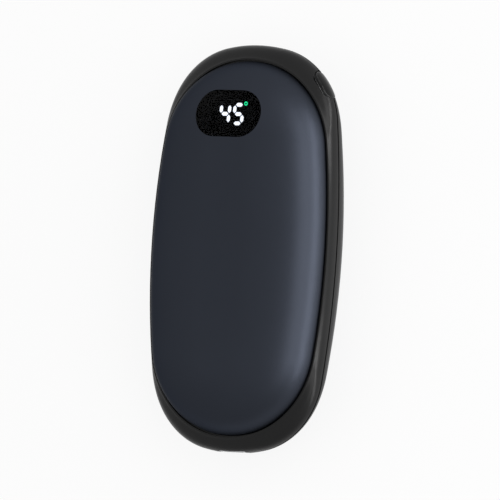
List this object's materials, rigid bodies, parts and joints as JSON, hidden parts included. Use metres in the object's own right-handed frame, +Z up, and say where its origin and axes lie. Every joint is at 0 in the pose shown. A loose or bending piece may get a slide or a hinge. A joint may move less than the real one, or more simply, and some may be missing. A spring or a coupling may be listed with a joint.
{
  "type": "rechargeable hand warmer",
  "caption": "Pebble-shaped rechargeable hand warmer with two domed metal shells on a black rim, a digital display window, a side key and a charging socket.",
  "frame": {"origin": "middle of the case on the flat of the rear panel, on which it lies", "axes": "+Z up out of the front panel, +Y along the length towards the display end, +X to the right seen from the front"},
  "size_m": [0.0542, 0.1038, 0.027],
  "materials": {
    "blue_shell": "satin anodised, dark blue",
    "black_rim": "fine satin moulding",
    "black_key": "satin",
    "smoked_lens": "glossy smoked plastic",
    "white_light": "lit white diffuser",
    "dark_segment": "unlit diffuser",
    "green_light": "lit green diffuser",
    "module_black": "matte",
    "foam": "soft foam",
    "inner_plastic": "moulded",
    "plunger_plastic": "moulded",
    "nickel": "plain",
    "board": "solder mask",
    "chip": "moulded",
    "cell_foil": "laminated foil",
    "tape": "adhesive foam tape",
    "steel": "plated",
    "film": "amber film",
    "wire": "insulated wire",
    "ferrite": "moulded ferrite",
    "socket_plastic": "moulded"
  },
  "bodies": {
    "case": {"front_panel": "blue_shell", "rear_panel": "blue_shell", "front_frame": "black_rim", "rear_frame": "black_rim", "display_lens": "smoked_lens", "lit_segments": "white_light", "unlit_segments": "dark_segment", "degree_ring": "green_light", "display_module": "module_black", "display_gasket": "foam", "display_spacer": "inner_plastic", "display_pins": "nickel", "control_board": "board", "control_chip": "chip", "switch_body": "inner_plastic", "front_cell": "cell_foil", "rear_cell": "cell_foil", "cell_tape": "tape", "cell_tabs": "nickel", "battery_tray": "inner_plastic", "case_screws": "steel", "front_heater": "film", "rear_heater": "film", "front_foam": "foam", "rear_foam": "foam", "front_heater_leads": "wire", "rear_heater_leads": "wire", "thermistor": "chip", "charge_board": "board", "charge_chip": "chip", "charge_coil": "ferrite", "usb_shell": "steel", "usb_tongue": "socket_plastic", "link_flex": "film"},
    "button": {"power_button": "black_key"},
    "plunger": {"switch_plunger": "plunger_plastic"}
  },
  "joints": [
    {"name": "button_press", "type": "slide", "parent": "case", "child": "button", "axis": [-0.8192, -0.5736, 0], "range_m": [0, 0.0003], "stiffness_N_per_m": 2000},
    {"name": "plunger_press", "type": "slide", "parent": "case", "child": "plunger", "axis": [-0.8192, -0.5736, 0], "range_m": [0, 0.0003]}
  ],
  "couplings": [
    {"joint": "plunger_press", "follows": "button_press", "ratio": 1}
  ]
}
